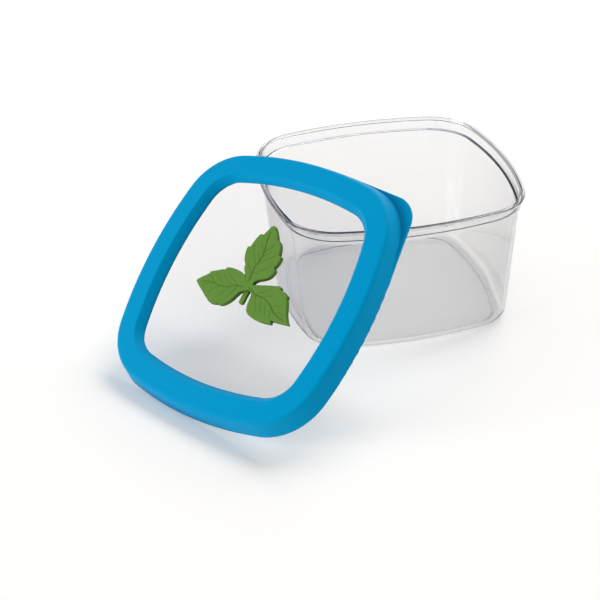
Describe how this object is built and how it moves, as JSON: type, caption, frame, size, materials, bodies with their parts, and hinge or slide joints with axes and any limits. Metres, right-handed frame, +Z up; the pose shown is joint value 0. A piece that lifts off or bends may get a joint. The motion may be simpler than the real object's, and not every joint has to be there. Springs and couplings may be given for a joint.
{
  "type": "herb keeper",
  "caption": "Low clear tub with bowed sides for fresh herbs, its clear-windowed lid in a soft frame with a finger tab leaning on one corner",
  "frame": {"origin": "centre of the tub's base, on the surface it stands on", "axes": "+Z up, the tub's sides face +X, -X, +Y and -Y; the lid leans on the corner towards -X and -Y"},
  "size_m": [0.2304, 0.2107, 0.1014],
  "materials": {
    "clear_plastic": "clear polished moulding",
    "clear_window": "clear polished moulding",
    "blue_soft": "soft satin matte",
    "green_soft": "soft satin matte"
  },
  "bodies": {
    "base": {"tub": "clear_plastic"},
    "lid": {"lid_window": "clear_window", "lid_frame": "blue_soft", "leaf_sprig": "green_soft"}
  },
  "joints": [
    {"name": "lid_lift", "type": "slide", "parent": "base", "child": "lid", "axis": [0, 0, 1], "range_m": [0, 0.12]}
  ]
}
